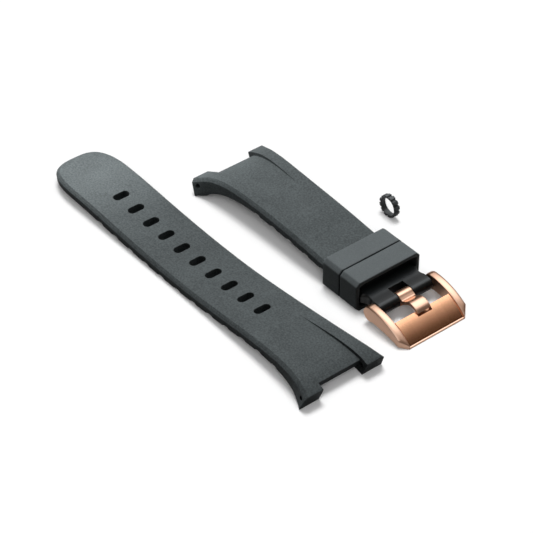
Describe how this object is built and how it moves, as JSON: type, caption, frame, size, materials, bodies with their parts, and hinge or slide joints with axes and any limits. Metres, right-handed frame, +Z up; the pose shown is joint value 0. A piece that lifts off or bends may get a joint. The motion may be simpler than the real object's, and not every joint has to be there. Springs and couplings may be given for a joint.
{
  "type": "watch strap",
  "caption": "Two-piece rubber watch strap with horned ends, a slotted tail, two keepers, a pin buckle on a spring bar and a loose toothed crown ring.",
  "frame": {"origin": "middle of the laid-out set, on the surface that it lies on", "axes": "+X along the strap towards the buckle, +Y across the strap from the tail half to the buckle half, +Z up"},
  "size_m": [0.1204, 0.071, 0.0096],
  "materials": {
    "strap_rubber": "satin, fine grain",
    "ring_rubber": "satin",
    "buckle_metal": "rose gold, brushed with polished bevels",
    "bar_steel": "satin"
  },
  "bodies": {
    "straps": {"tail_strap": "strap_rubber", "buckle_strap": "strap_rubber", "fixed_keeper": "strap_rubber", "bar_barrel": "bar_steel", "bar_spring": "bar_steel", "crown_ring": "ring_rubber"},
    "sliding_keeper": {"sliding_keeper": "strap_rubber"},
    "frame": {"buckle_frame": "buckle_metal"},
    "tongue": {"buckle_tongue": "buckle_metal"},
    "pin_left": {"bar_pin_left": "bar_steel"},
    "pin_right": {"bar_pin_right": "bar_steel"}
  },
  "joints": [
    {"name": "buckle_hinge", "type": "hinge", "parent": "straps", "child": "frame", "pos_m": [0.04493, 0.01134, 0.00383], "axis": [0, -1, 0], "range_deg": [0, 70]},
    {"name": "tongue_hinge", "type": "hinge", "parent": "frame", "child": "tongue", "pos_m": [0.04493, 0.01134, 0.00383], "axis": [0, -1, 0], "range_deg": [0, 55]},
    {"name": "keeper_slide", "type": "slide", "parent": "straps", "child": "sliding_keeper", "axis": [-1, 0, 0], "range_m": [0, 0.014]},
    {"name": "pin_left_slide", "type": "slide", "parent": "straps", "child": "pin_left", "axis": [0, 1, 0], "range_m": [0, 0.0013], "stiffness_N_per_m": 600, "deforming": ["bar_spring"]},
    {"name": "pin_right_slide", "type": "slide", "parent": "straps", "child": "pin_right", "axis": [0, -1, 0], "range_m": [0, 0.0013], "stiffness_N_per_m": 600, "deforming": ["bar_spring"]}
  ]
}
